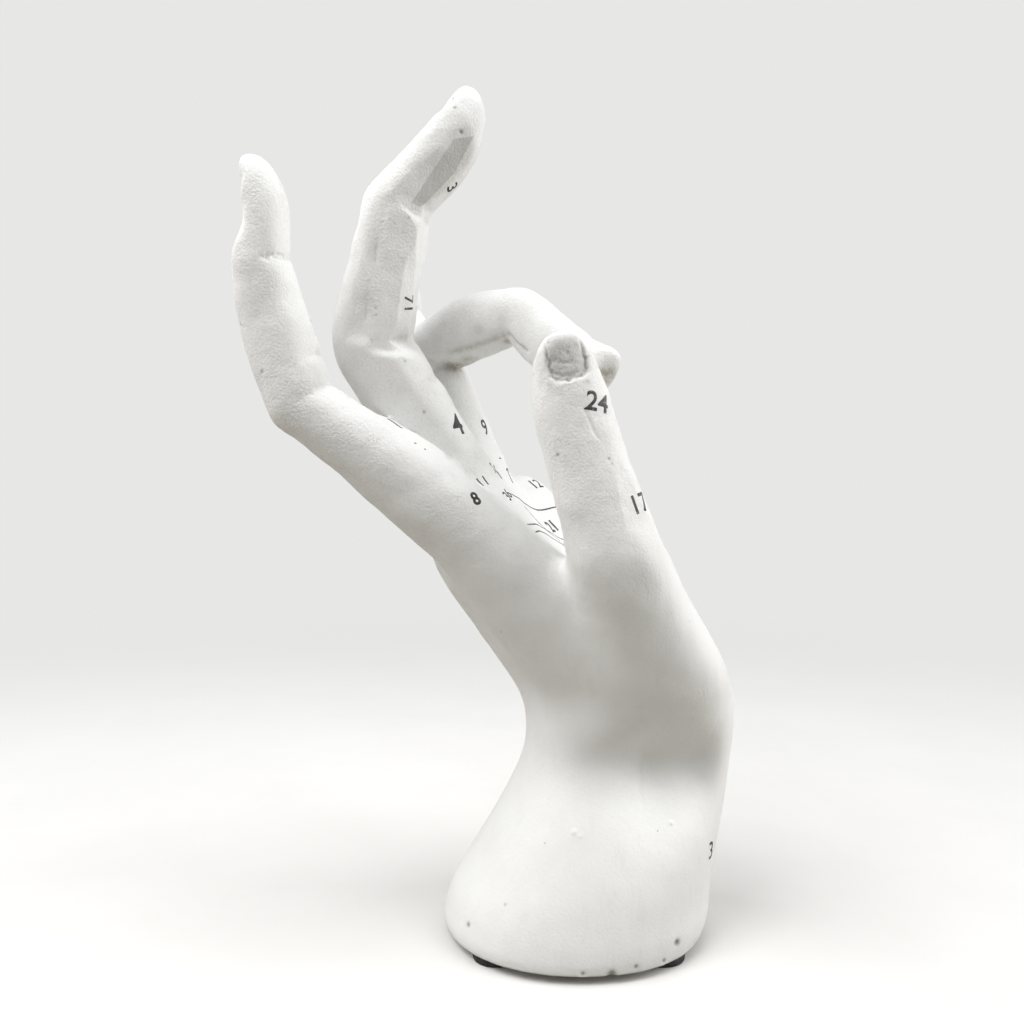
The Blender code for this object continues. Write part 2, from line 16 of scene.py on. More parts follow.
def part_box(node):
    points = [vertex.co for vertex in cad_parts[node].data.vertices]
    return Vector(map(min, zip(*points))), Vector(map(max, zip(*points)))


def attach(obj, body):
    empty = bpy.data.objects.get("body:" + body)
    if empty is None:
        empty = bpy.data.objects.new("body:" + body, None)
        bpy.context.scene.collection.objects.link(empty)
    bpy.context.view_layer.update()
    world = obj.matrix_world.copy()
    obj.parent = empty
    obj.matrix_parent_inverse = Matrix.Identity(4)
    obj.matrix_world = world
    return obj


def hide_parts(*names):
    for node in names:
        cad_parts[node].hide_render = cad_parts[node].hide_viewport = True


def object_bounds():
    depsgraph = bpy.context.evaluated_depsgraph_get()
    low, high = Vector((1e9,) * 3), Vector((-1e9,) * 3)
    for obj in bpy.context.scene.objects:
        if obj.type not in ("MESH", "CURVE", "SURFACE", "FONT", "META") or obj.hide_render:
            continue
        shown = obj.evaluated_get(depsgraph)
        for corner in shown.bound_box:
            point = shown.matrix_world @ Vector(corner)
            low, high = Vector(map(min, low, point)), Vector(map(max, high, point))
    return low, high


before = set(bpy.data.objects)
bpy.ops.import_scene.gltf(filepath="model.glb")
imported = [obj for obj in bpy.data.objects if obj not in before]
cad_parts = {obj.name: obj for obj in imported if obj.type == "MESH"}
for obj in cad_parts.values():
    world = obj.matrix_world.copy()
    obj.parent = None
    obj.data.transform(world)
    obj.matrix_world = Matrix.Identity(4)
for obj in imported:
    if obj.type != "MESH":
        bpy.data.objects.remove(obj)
cad_box = [list(corner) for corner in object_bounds()]

PADS = ("foot_pad_back_right", "foot_pad_back_left", "foot_pad_front_left", "foot_pad_front_right")
pad_corners = [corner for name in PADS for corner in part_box(name)]
middle = sum(pad_corners, Vector()) / len(pad_corners)
BASE = Vector((middle.x, middle.y, 0.0))
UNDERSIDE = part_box("hand_casting")[0].z

# Camera, from the middle of the base
CAMERA_AT = Vector((-0.0183, -0.290, 0.1375))
CAMERA_PITCH = math.radians(3.26)
PICTURE = 1024
FOCAL_PIXELS = 1000.0
SENSOR = 36.0
CLIP_START = 0.01

# Skin
VOXEL = 0.00042
MOST_TRIANGLES = 190_000
SMOOTH_REACH = 0.0028
RIM_LOW, RIM_HIGH = 0.0030, 0.0080
WELD = 1e-6


class Digit(NamedTuple):
    """A finger's bones, as the casting has them, from the middle of the base."""

    knuckle: tuple
    lengths: tuple
    leans: tuple
    drifts: tuple
    hinge: tuple
    widths: tuple  # half widths at the knuckle, each further joint and the tip
    nail: tuple  # half width and length
    nail_weight: float  # how plainly the nail shows


INDEX = Digit(
    (-0.0337, -0.020, 0.1199), (0.0516, 0.0376, 0.0280), (142.7, 102.8, 95.2), (-4.4, -3.1, -2.1),
    (0.14, 0.98, 0.08), (0.0105, 0.0096, 0.0083, 0.0068), (0.0050, 0.0110), 0.2,
)
MIDDLE = Digit(
    (-0.0280, -0.003, 0.1246), (0.0524, 0.0377, 0.0394), (123.2, 82.0, 52.0), (-5.5, -3.0, -1.5),
    (0.26, 0.96, 0.06), (0.0105, 0.0098, 0.0088, 0.0072), (0.0054, 0.0125), 0.45,
)
RING = Digit(
    (-0.0234, 0.014, 0.1263), (0.0469, 0.0305, 0.0354), (114.5, 16.6, -32.0), (-2.4, -27.3, -28.4),
    (0.20, 0.97, 0.10), (0.0102, 0.0092, 0.0080, 0.0066), (0.0050, 0.0110), 0.1,
)
LITTLE = Digit(
    (-0.0254, 0.032, 0.1262), (0.0373, 0.0283, 0.0255), (121.8, 112.0, 98.0), (12.4, 8.1, 4.7),
    (0.14, 0.98, 0.14), (0.0092, 0.0082, 0.0070, 0.0056), (0.0040, 0.0085), 0.45,
)
THUMB = Digit(
    (0.0092, -0.030, 0.1102), (0.0391, 0.0222), (107.0, 101.9), (3.2, -3.1),
    (-0.97, -0.10, -0.20), (0.0130, 0.0106, 0.0082), (0.0045, 0.0112), 1.0,
)
DIGITS = (INDEX, MIDDLE, RING, LITTLE, THUMB)


def joints_of(digit):
    """The ends of the digit's bones, from the knuckle to the tip."""
    points = [np.array(BASE) + digit.knuckle]
    for length, lean, drift in zip(digit.lengths, np.radians(digit.leans), np.radians(digit.drifts)):
        way = np.array((math.cos(lean) * math.cos(drift), math.sin(drift), math.sin(lean) * math.cos(drift)))
        points.append(points[-1] + way * length)
    return points


def unit(values):
    values = np.asarray(values, float)
    return values / np.linalg.norm(values)


def bone_frame(digit, bone):
    """Start, along, side and back of one bone. Side points away from the thumb side on a finger."""
    points = joints_of(digit)
    along = unit(points[bone + 1] - points[bone])
    hinge = unit(digit.hinge)
    side = unit(hinge - along * (hinge @ along))
    return points[bone], along, side, np.cross(along, side)


def smooth(values):
    """0 to 1, level at both ends."""
    values = np.clip(values, 0.0, 1.0)
    return values * values * (3 - 2 * values)


def rising(values, low, high):
    """0 below low, 1 above high, smooth between."""
    return smooth((values - low) / (high - low))


def bell(distance, width):
    """1 at no distance, falling to nothing within about two widths."""
    return np.exp(-((distance / width) ** 2))


def link(name, mesh):
    made = bpy.data.objects.new(name, mesh)
    bpy.context.scene.collection.objects.link(made)
    return made


def bake(target):
    """Applies the object's modifiers."""
    graph = bpy.context.evaluated_depsgraph_get()
    baked = bpy.data.meshes.new_from_object(target.evaluated_get(graph))
    target.modifiers.clear()
    target.data = baked


def read_points(mesh):
    points = np.empty(len(mesh.vertices) * 3)
    mesh.vertices.foreach_get("co", points)
    return points.reshape(-1, 3)


def write_points(mesh, points):
    mesh.vertices.foreach_set("co", np.ascontiguousarray(points, np.float32).ravel())
    mesh.update()


def read_normals(mesh):
    facing = np.empty(len(mesh.vertices) * 3)
    mesh.vertices.foreach_get("normal", facing)
    return facing.reshape(-1, 3)


def spread(mesh, values, steps):
    """Averages a value per point, three numbers each, with its neighbours, steps times."""
    scratch = link("scratch", mesh.copy())
    write_points(scratch.data, values)
    modifier = scratch.modifiers.new("spread", "SMOOTH")
    modifier.factor = 0.5
    modifier.iterations = steps
    bake(scratch)
    result = read_points(scratch.data)
    bpy.data.objects.remove(scratch)
    return result


def steps_for(reach):
    """How many averagings even out bumps about this wide."""
    return max(1, round(2 * (reach / VOXEL) ** 2))


def even_noise(mesh, reach, seed):
    """Smooth random values over the surface, about -1 to 1, with bumps about reach wide."""
    random = np.random.RandomState(seed).normal(size=(len(mesh.vertices), 3))
    values = spread(mesh, random, steps_for(reach))
    return values / values.std(axis=0)


def dense_skin():
    """A fine copy of the casting's surface with its facets smoothed away above the rim."""
    shape = bmesh.new()
    shape.from_mesh(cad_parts["hand_casting"].data)
    bmesh.ops.remove_doubles(shape, verts=shape.verts, dist=WELD)
    mesh = bpy.data.meshes.new("hand_skin")
    shape.to_mesh(mesh)
    shape.free()
    skin = link("hand_skin", mesh)
    remesh = skin.modifiers.new("remesh", "REMESH")
    remesh.mode = "VOXEL"
    remesh.voxel_size = VOXEL
    bake(skin)
    rough = read_points(skin.data)
    steps = steps_for(SMOOTH_REACH)
    even = spread(skin.data, rough, steps)
    even += spread(skin.data, rough - even, steps)
    kept = rising(rough[:, 2], RIM_LOW, RIM_HIGH)[:, None]
    softened = spread(skin.data, rough, steps_for(VOXEL))
    write_points(skin.data, softened * (1 - kept) + even * kept)
    return skin


# Flats on the digits: digit, bone, degrees round from the back towards the side, distance from the bone,
# where each starts and ends along the bone, and over what share of the bone it fades
FLATS = (
    (MIDDLE, 0, 264, 0.0090, 0.35, 1.02, 0.08),
    (MIDDLE, 1, 176, 0.0094, 0.02, 1.05, 0.06),
    (MIDDLE, 1, 242, 0.0082, -0.02, 0.96, 0.08),
    (MIDDLE, 2, 236, 0.0077, 0.10, 0.70, 0.05),
    (RING, 0, 180, 0.0063, 0.50, 0.92, 0.16),
    (RING, 1, 215, 0.0073, 0.16, 0.80, 0.16),
    (THUMB, 0, 330, 0.0101, 0.25, 0.96, 0.20),
)
FLAT_EDGE = 0.0002
FLAT_BORDER = 0.0012
DIGIT_SPAN = 1.6  # how far out a point may stand from a bone that shapes it, in half widths


def from_bones(points, digit):
    """Each point's distance from the middle line of each of the digit's bones."""
    joints = joints_of(digit)
    rows = []
    for start, end in zip(joints, joints[1:]):
        way = end - start
        share = np.clip((points - start) @ way / (way @ way), 0.0, 1.0)
        rows.append(np.linalg.norm(points - start - np.outer(share, way), axis=1))
    return np.array(rows)


def apart(distances, digit, bone):
    """1 where this bone is the nearest one, 0 nearer to another digit or past the bend to another bone."""
    own = distances[digit]
    others = np.min([distances[other].min(axis=0) for other in DIGITS if other is not digit], axis=0)
    siblings = np.delete(own, bone, axis=0).min(axis=0)
    weight = rising(others - own.min(axis=0), -FLAT_BORDER, FLAT_BORDER)
    return weight * rising(siblings - own[bone], -2 * FLAT_BORDER, 0.0)


def pare(points):
    """Presses points that stand outside each flat onto it."""
    distances = {digit: from_bones(points, digit) for digit in DIGITS}
    for digit, bone, turn, depth, low, high, fade in FLATS:
        start, along, side, back = bone_frame(digit, bone)
        turn = math.radians(turn)
        out = back * math.cos(turn) + side * math.sin(turn)
        offset = points - start
        place = offset @ along / digit.lengths[bone]
        near = rising(place, low - fade, low) * (1 - rising(place, high, high + fade))
        across = np.linalg.norm(offset - np.outer(offset @ along, along), axis=1)
        near = near * (across < DIGIT_SPAN * digit.widths[bone]) * apart(distances, digit, bone)
        past = offset @ out - depth
        excess = np.where(past > 0, past, 0.0)
        excess = np.where(excess > FLAT_EDGE, excess - FLAT_EDGE / 2, excess**2 / (2 * FLAT_EDGE))
        points = points - out * (excess * near)[:, None]
    return points


# Fuller places on the digits: digit, bone, degrees round from the back, how far out, how far along the bone,
# where they start and end along it, and from how far out on that side they begin, in half widths
FULLER = (
    (MIDDLE, 1, 205, 0.0012, 0.0, -0.05, 1.05, 0.5),
    (MIDDLE, 1, 168, 0.0028, 0.0, 0.55, 1.12, 0.3),
    (RING, 2, 180, 0.0, 0.0013, 0.70, 1.60, -1.5),
    (INDEX, 2, 350, 0.0009, 0.0005, 0.80, 1.50, -0.2),
)
FULLER_FADE = 0.25

# The hollow under the ball of the thumb: its middle in x and z, its reach to the left, to the right, up and
# down, its depth, and the values of y between which it ends
HEEL_MIDDLE = (0.0165, 0.0505)
HEEL_REACH = (0.0150, 0.0095, 0.0110, 0.0180)
HEEL_DEPTH = 0.0058
HEEL_FRONT = (-0.022, -0.004)


def fill_out(points):
    """Moves points out at the fuller places."""
    distances = {digit: from_bones(points, digit) for digit in DIGITS}
    for digit, bone, turn, height, ahead, low, high, begins in FULLER:
        start, along, side, back = bone_frame(digit, bone)
        turn = math.radians(turn)
        out = back * math.cos(turn) + side * math.sin(turn)
        offset = points - start
        place = offset @ along / digit.lengths[bone]
        level = offset - np.outer(offset @ along, along)
        across = np.linalg.norm(level, axis=1)
        near = rising(place, low, low + FULLER_FADE) * (1 - rising(place, high - FULLER_FADE, high))
        near = near * rising(level @ out / digit.widths[bone], begins, 1.0)
        near = near * (across < DIGIT_SPAN * digit.widths[bone]) * apart(distances, digit, bone)
        points = points + np.outer(near, out * height + along * ahead)
    return points


def hollow_heel(points):
    """Presses in the hollow under the ball of the thumb."""
    x, y, z = (points - np.array(BASE)).T
    left, right, up, down = HEEL_REACH
    across = np.where(x < HEEL_MIDDLE[0], (HEEL_MIDDLE[0] - x) / left, (x - HEEL_MIDDLE[0]) / right)
    level = np.where(z > HEEL_MIDDLE[1], (z - HEEL_MIDDLE[1]) / up, (HEEL_MIDDLE[1] - z) / down)
    depth = HEEL_DEPTH * bell(across, 1.0) * bell(level, 1.0) * (1 - rising(y, *HEEL_FRONT))
    return points + np.outer(depth, (0.0, 1.0, 0.0))


# Nails. Places along a nail run from -1 at its root to 1 at its free edge.
FREE_EDGE = 0.0008
PLATE_SINK, PLATE_RISE = -0.00035, 0.0001
NAIL_SQUARENESS = 4.5
NAIL_FACING = (0.15, 0.5)
NAIL_REAR = (0.1, 0.9)
GROOVE_WIDTH, GROOVE_DEPTH = 0.00045, 0.00050
LIP_OUT, LIP_WIDTH, LIP_HEIGHT = 0.0011, 0.0007, 0.00028
LIP_ENDS = (-0.4, 0.5)
RIDGE_LENGTH, RIDGE_HEIGHT, RIDGE_WANDER = 0.0026, 0.00004, 3
CUTICLE_ROUGHNESS = 0.00018
NAIL_TINT = 0.38


def nail_shape(points, facing, digit, rough):
    """How far each point moves outwards for a nail, and how grey it is there: the plate is tinted grey and
    the groove round it gets painted shade.
    """
    start, along, side, back = bone_frame(digit, len(digit.lengths) - 1)
    tip = start + along * digit.lengths[-1]
    half_width, length = digit.nail
    offset = points - tip
    across = offset @ side / half_width
    lengthwise = (offset @ along + FREE_EDGE + length / 2) / (length / 2)
    corners = np.abs(across) ** NAIL_SQUARENESS + np.abs(lengthwise) ** NAIL_SQUARENESS
    cuticle = rough * CUTICLE_ROUGHNESS * (lengthwise < 0)
    outside = (corners ** (1 / NAIL_SQUARENESS) - 1) * half_width + cuticle
    near = rising(facing @ back, *NAIL_FACING) * (offset @ back > -half_width) * digit.nail_weight
    near = near * (np.abs(offset @ along) < 2 * length)
    rear = 1 - rising(lengthwise, *NAIL_REAR)
    plate = smooth(-outside / GROOVE_WIDTH)
    groove = bell(outside - GROOVE_WIDTH / 2, GROOVE_WIDTH)
    ridges = np.sin(offset @ along * 2 * np.pi / RIDGE_LENGTH + RIDGE_WANDER * rough)
    height = plate * (PLATE_SINK + (PLATE_RISE - PLATE_SINK) * smooth((lengthwise + 1) / 2))
    height += plate * RIDGE_HEIGHT * ridges * rear
    height -= GROOVE_DEPTH * groove * rear
    height += LIP_HEIGHT * bell(outside - LIP_OUT, LIP_WIDTH) * (1 - rising(lengthwise, *LIP_ENDS))
    # the plate's grey tint, and painted shade in the groove round it
    shade = near * np.maximum(plate * NAIL_TINT, groove * rear)
    return near * height, shade


# Creases across the palm side of a joint: digit, joint, depth and width
CREASES = (
    (INDEX, 2, 0.00045, 0.0006),
    (INDEX, 1, 0.00012, 0.0010),
    (MIDDLE, 2, 0.00010, 0.0008),
    (MIDDLE, 1, 0.00012, 0.0010),
    (RING, 2, 0.00012, 0.0008),
    (RING, 1, 0.00012, 0.0008),
    (LITTLE, 2, 0.00020, 0.0007),
    (LITTLE, 1, 0.00020, 0.0008),
    (THUMB, 1, 0.00010, 0.0010),
)
CREASE_SPAN = 2.4  # in half widths of the joint
CREASE_WANDER = 0.0003
CREASE_FACING = (0.15, 0.7)


def crease_shape(points, facing, crease, wave):
    """How far each point moves outwards for a crease: below 0, as it lies under the surface."""
    digit, joint, depth, width = crease
    before, here, after = joints_of(digit)[joint - 1 : joint + 2]
    along = unit(unit(after - here) + unit(here - before))
    hinge = unit(digit.hinge)
    back = np.cross(along, unit(hinge - along * (hinge @ along)))
    offset = points - here
    near = np.linalg.norm(offset, axis=1) < CREASE_SPAN * digit.widths[joint]
    place = offset @ along + wave * CREASE_WANDER
    return -depth * bell(place, width) * rising(-facing @ back, *CREASE_FACING) * near


# Pits and nibs left by the casting: a pixel of the photograph's frame, radius and depth, negative for a nib
PITS = (
    (468, 925, 0.0006, 0.0005), (677, 943, 0.0008, 0.0007), (664, 961, 0.0005, 0.0004),
    (636, 967, 0.0005, 0.0004), (583, 974, 0.0005, 0.0004), (612, 975, 0.0010, 0.0006),
    (453, 98, 0.0004, 0.0003), (455, 108, 0.0004, 0.0003), (461, 132, 0.0005, 0.0004),
    (568, 332, 0.0004, 0.0003), (671, 823, 0.0005, -0.0004), (574, 832, 0.0007, -0.0003),
    (580, 836, 0.0005, -0.0002), (558, 455, 0.0004, 0.0003), (609, 459, 0.0004, 0.0003),
    (612, 464, 0.0003, 0.0002), (241, 325, 0.0004, 0.0002), (262, 372, 0.0004, 0.0003),
    (405, 361, 0.0004, 0.0002), (424, 412, 0.0004, 0.0003), (536, 353, 0.0004, 0.0002),
    (533, 375, 0.0004, 0.0002), (690, 620, 0.0005, -0.0002), (505, 905, 0.0004, 0.0002),
    (568, 352, 0.0003, 0.0003), (552, 357, 0.0003, 0.0002), (572, 360, 0.0003, 0.0002),
    (409, 218, 0.0003, 0.0002), (376, 308, 0.0003, 0.0002), (376, 315, 0.0003, 0.0002),
    (371, 340, 0.0003, 0.0002), (548, 343, 0.0003, 0.0003),
)
PIT_DARK = 0.0003  # the depth from which a pit's painted shade is fully dark
# Scratches and scuffs: pixels of the photograph's frame along each, radius and depth
SCRATCHES = (
    (((584, 408), (587, 415), (595, 434), (600, 440)), 0.00035, 0.00009),
    (((565, 404), (575, 406), (584, 405)), 0.0003, 0.00004),
    (((378, 238), (376, 252), (375, 264)), 0.0004, 0.00008),
    (((369, 281), (367, 300), (365, 322)), 0.0004, 0.00008),
    (((355, 285), (354, 318)), 0.0004, 0.00006),
    (((508, 333), (518, 345), (528, 352)), 0.0006, 0.00020),
    (((551, 372), (560, 376), (572, 375), (580, 371)), 0.0004, 0.00012),
    (((553, 361), (563, 363), (572, 362)), 0.0004, 0.00008),
)
COURSE_STEP = 1.2  # pixels between the spots that make up a course


def camera_ray(x, y):
    """From the camera through a pixel of the photograph's frame."""
    right, up = (x - PICTURE / 2) / FOCAL_PIXELS, (PICTURE / 2 - y) / FOCAL_PIXELS
    low, high = math.sin(CAMERA_PITCH), math.cos(CAMERA_PITCH)
    return BASE + CAMERA_AT, Vector((right, high + up * low, up * high - low)).normalized()


# Soiled places and painted shade: a pixel of the photograph's frame, or pixels along each smudge, radius and
# strength. The spot under the ring finger's tip, the band under its middle bone and the streaks along its
# facet edges are partly painted shade.
STAINS_AND_SHADE = (
    (452, 366, 0.0022, 0.9), (470, 360, 0.0024, 0.8), (490, 357, 0.0020, 0.9), (508, 342, 0.0014, 0.9),
    (609, 376, 0.0026, 1.0), (461, 370, 0.0020, 0.9), (478, 330, 0.0020, 0.3), (503, 318, 0.0018, 0.25),
    (368, 300, 0.0030, 0.35), (376, 250, 0.0026, 0.30), (405, 340, 0.0020, 0.25), (478, 455, 0.0030, 0.30),
    (430, 385, 0.0030, 0.20), (548, 556, 0.0020, 0.35), (560, 332, 0.0020, 0.2), (600, 372, 0.0014, 0.6),
)
SMUDGES_AND_SHADE = (
    (((450, 353), (470, 348), (490, 341), (508, 334)), 0.0011, 0.10),
    (((508, 334), (517, 343), (527, 351)), 0.0008, 0.10),
    (((445, 368), (466, 365), (486, 360), (500, 356)), 0.0014, 0.08),
)


def spots_along(courses):
    """Scratches or smudges as rows of spots."""
    rows = []
    for course, radius, value in courses:
        for start, end in zip(course, course[1:]):
            count = math.ceil(math.dist(start, end) / COURSE_STEP)
            for k in range(count):
                share = k / count
                x = start[0] + (end[0] - start[0]) * share
                y = start[1] + (end[1] - start[1]) * share
                rows.append((x, y, radius, value))
    return rows


def spots(points, tree, table):
    """The table's values, each faded over its radius round the place that its pixel shows."""
    total = np.zeros(len(points))
    for x, y, radius, value in table:
        place = tree.ray_cast(*camera_ray(x, y))[0]
        if place is not None:
            total += value * bell(np.linalg.norm(points - np.array(place), axis=1), radius)
    return total


def tree_of(mesh):
    """The mesh, ready for rays."""
    shape = bmesh.new()
    shape.from_mesh(mesh)
    tree = BVHTree.FromBMesh(shape)
    shape.free()
    return tree


# The planed face on the middle finger's last bone, which gets painted shade, in pixels of the photograph's
# frame
PLANED_BONE = 2
PLANED_FACE = ((454, 139), (474, 136), (454.6, 172.7), (426.6, 202.2), (419, 207), (411.6, 202.2))
PLANED_EDGE = 0.00012


def planed_sides():
    """The planes that bound the planed face, as a direction inwards and its value on the plane."""
    sides = []
    for corner, following in zip(PLANED_FACE, PLANED_FACE[1:] + PLANED_FACE[:1]):
        eye, way = camera_ray(*corner)
        inwards = way.cross(camera_ray(*following)[1]).normalized()
        sides.append((inwards, inwards.dot(eye)))
    return sides


# Waves in the surface: how wide and how high they are. Low on the wrist they are WAVES_LOW of that, and they
# grow to their full height between the two heights of WAVES_FROM.
WAVES = ((0.0060, 0.00010), (0.0022, 0.00003))
WAVES_FROM = (0.060, 0.120)
WAVES_LOW = 0.3
WAVE_SEED = 11
FINE_REACH, FINE_SEED = 0.0008, 5
HOLLOW_REACH, HOLLOW_DEEP = 0.0016, 0.00012  # the width of the hollows that get painted shade, and their full depth


def add_attribute(mesh, name, values):
    attribute = mesh.attributes.new(name, "FLOAT", "POINT")
    attribute.data.foreach_set("value", np.ascontiguousarray(values, np.float32))


def sculpt(skin):
    """Carves what the solids leave out, and marks nails, pits, stains, the planed face and hollows, for the
    colour and painted shade that the material puts on them.
    """
    mesh = skin.data
    points = pare(hollow_heel(fill_out(read_points(mesh))))
    above = rising(points[:, 2], RIM_LOW, RIM_HIGH)
    above = above * (WAVES_LOW + (1 - WAVES_LOW) * rising(points[:, 2], *WAVES_FROM))
    write_points(mesh, points)
    facing = read_normals(mesh)
    fine = even_noise(mesh, FINE_REACH, FINE_SEED)
    move = np.zeros(len(points))
    shade = np.zeros(len(points))
    for digit in DIGITS:
        height, dark = nail_shape(points, facing, digit, fine[:, 0])
        move += height
        shade = np.maximum(shade, dark)
    for crease in CREASES:
        move += crease_shape(points, facing, crease, fine[:, 1])
    for wave, (reach, height) in enumerate(WAVES):
        move += height * even_noise(mesh, reach, WAVE_SEED + wave)[:, 0] * above
    tree = tree_of(mesh)
    pits = spots(points, tree, PITS)
    move -= pits + spots(points, tree, spots_along(SCRATCHES))
    points = points + facing * move[:, None]
    points = np.clip(points, (*cad_box[0][:2], UNDERSIDE), cad_box[1])
    write_points(mesh, points)
    even = spread(mesh, points, steps_for(HOLLOW_REACH))
    hollow = np.einsum("ij,ij->i", even - points, read_normals(mesh))
    stains_and_shade = spots(points, tree, (*STAINS_AND_SHADE, *spots_along(SMUDGES_AND_SHADE)))
    on_bone = from_bones(points, MIDDLE)[PLANED_BONE] < DIGIT_SPAN * MIDDLE.widths[PLANED_BONE]
    add_attribute(mesh, "nail", shade)
    add_attribute(mesh, "pit", np.clip(pits / PIT_DARK, 0.0, 1.0))
    add_attribute(mesh, "stain_and_shade", np.clip(stains_and_shade, 0.0, 1.0))
    add_attribute(mesh, "planed", on_bone * (facing[:, 1] < 0))
    add_attribute(mesh, "hollow", np.clip(hollow / HOLLOW_DEEP, 0.0, 1.0))


def lighten(skin):
    """Decimates the skin down to MOST_TRIANGLES triangles when it has more."""
    triangles = sum(len(face.vertices) - 2 for face in skin.data.polygons)
    if triangles <= MOST_TRIANGLES:
        return
    fewer = skin.modifiers.new("lighten", "DECIMATE")
    fewer.ratio = MOST_TRIANGLES / triangles
    bake(skin)


# The printed chart. A numeral is its text, its place, its height, its degrees of turn and how far its strokes
# are widened. A place is a pixel of the photograph's frame, a spot on the palm, or a digit, one of its bones
# and a share of that bone's length.
INK_RISE, INK_SINK = 0.00005, 0.00012
INK_VOXEL = 0.00011
INK_SOLID = 0.0003
INK_START, INK_SEARCH = 0.004, 0.010  # how far outside a point the skin is looked for, and how far from there
CAPITAL = 0.72  # height of a numeral, as a share of the text's size
PALM_START = np.array((0.0060, 0.0, 0.0650))
PALM_UP = np.array((-0.53, -0.04, 0.85))
PALM_OUT = np.array((0.85, 0.0, 0.53))
SEEN_NUMERALS = (
    ("24", (598, 403), 0.0050, -12, 0.00012),
    ("17", (640, 504), 0.0050, 14, 0.00010),
    ("3", (452, 188), 0.0036, -36, 0.00008),
    ("71", (409, 304), 0.0036, -82, 0.00006),
    ("4", (458, 425), 0.0062, 6, 0.00020),
    ("9", (485, 428), 0.0048, 6, 0.00010),
    ("8", (476, 499), 0.0036, 20, 0.00016),
    ("11", (483, 482), 0.0032, 20, 0.00002),
    ("2", (493, 468), 0.0036, 20, 0.00002),
    ("36", (508, 495), 0.0034, 24, 0.00006),
    ("12", (536, 484), 0.0040, 10, 0.00006),
    ("21", (552, 527), 0.0042, 10, 0.00018),
    ("3", (711, 851), 0.0050, 0, 0.00006),
)
PALM_NUMERALS = (
    ("6", (0.004, 0.072), 0.0050, 0, 0.00010),
    ("7", (0.016, 0.069), 0.0050, 0, 0.00010),
    ("40", (0.022, 0.024), 0.0060, 0, 0.00014),
    ("50", (-0.008, 0.030), 0.0060, 12, 0.00014),
)
FINGER_NUMERALS = (
    ("1", (INDEX, 0, 0.55), 0.0052, 0, 0.00012),
    ("2", (INDEX, 1, 0.50), 0.0050, 0, 0.00012),
    ("3", (INDEX, 2, 0.45), 0.0046, 0, 0.00012),
    ("10", (LITTLE, 0, 0.60), 0.0044, 0, 0.00010),
    ("11", (LITTLE, 1, 0.50), 0.0042, 0, 0.00010),
    ("12", (LITTLE, 2, 0.45), 0.0038, 0, 0.00010),
)
SEEN_LINES = (
    ((414, 443), (416.5, 443.5)),
    ((424, 449), (426, 449.5)),
    ((499, 458), (501, 458.5)),
)
PALM_LINES = (
    ((-0.014, 0.053), (-0.005, 0.051), (0.003, 0.042), (0.006, 0.027), (0.003, 0.012)),
    ((-0.014, 0.056), (-0.002, 0.053), (0.010, 0.046), (0.022, 0.037)),
    ((0.031, 0.050), (0.020, 0.054), (0.008, 0.060), (-0.006, 0.066)),
    ((0.010, 0.010), (0.008, 0.026), (0.005, 0.042), (0.001, 0.060)),
)
LINE_WIDTH = 0.00045
LINE_STEPS = 10
LINE_END, LINE_GAIN = 0.35, 0.25  # share of the width at a line's end, and what each step inwards adds
CHART_LEAN = 0.7  # how far the numerals on the fingers lie round from the palm side


def palm_ray(across, up):
    """From inside the palm outwards."""
    return Vector(np.array(BASE) + PALM_START + PALM_UP * up + (0.0, across, 0.0)), Vector(PALM_OUT)


def bone_ray(digit, bone, share):
    """From the middle of a bone towards the palm side, a little away from the thumb."""
    start, along, side, back = bone_frame(digit, bone)
    return Vector(start + along * share * digit.lengths[bone]), Vector(unit(side * CHART_LEAN - back))


def tangent_frame(normal, turn):
    """Right and up on the surface, turned anticlockwise as seen from outside."""
    up = unit(np.array((0.0, 0.0, 1.0)) - normal * normal[2])
    right = np.cross(up, normal)
    turn = math.radians(turn)
    return right * math.cos(turn) + up * math.sin(turn), up * math.cos(turn) - right * math.sin(turn)


def numeral_solid(text, height, wider):
    """A fine closed mesh of the text, flat in XY and centred on the origin."""
    letters = bpy.data.curves.new("numeral", "FONT")
    letters.body = text
    letters.size = height / CAPITAL
    letters.align_x = "CENTER"
    letters.align_y = "CENTER"
    letters.offset = wider
    letters.extrude = INK_SOLID
    outline = link("numeral", letters)
    mesh = bpy.data.meshes.new_from_object(outline.evaluated_get(bpy.context.evaluated_depsgraph_get()))
    bpy.data.objects.remove(outline)
    welded = bmesh.new()
    welded.from_mesh(mesh)
    bmesh.ops.remove_doubles(welded, verts=welded.verts, dist=WELD)
    welded.to_mesh(mesh)
    welded.free()
    solid = link("numeral", mesh)
    remesh = solid.modifiers.new("remesh", "REMESH")
    remesh.mode = "VOXEL"
    remesh.voxel_size = INK_VOXEL
    bake(solid)
    mesh = solid.data
    bpy.data.objects.remove(solid)
    return mesh


def onto_skin(tree, points, normal, lifts):
    """Each point, moved along normal onto the skin and then out by its lift."""
    moved = []
    for point, lift in zip(points, lifts):
        start = Vector(point + normal * INK_START)
        hit, facing = tree.ray_cast(start, Vector(-normal), INK_SEARCH)[:2]
        if hit is None:
            hit, facing = tree.find_nearest(Vector(point))[:2]
        moved.append(hit + facing * lift)
    return moved


def add_numeral(shape, tree, ray, text, height, turn, wider):
    """Lays a numeral on the skin where the ray meets it."""
    place, normal = tree.ray_cast(*ray)[:2]
    if place is None:
        return
    normal = unit(normal)
    right, up = tangent_frame(normal, turn)
    mesh = numeral_solid(text, height, wider)
    flat = read_points(mesh)
    points = np.array(place) + np.outer(flat[:, 0], right) + np.outer(flat[:, 1], up)
    share = flat[:, 2] / INK_SOLID
    lifts = np.where(share > 0, share * INK_RISE, share * INK_SINK)
    write_points(mesh, onto_skin(tree, points, normal, lifts))
    shape.from_mesh(mesh)


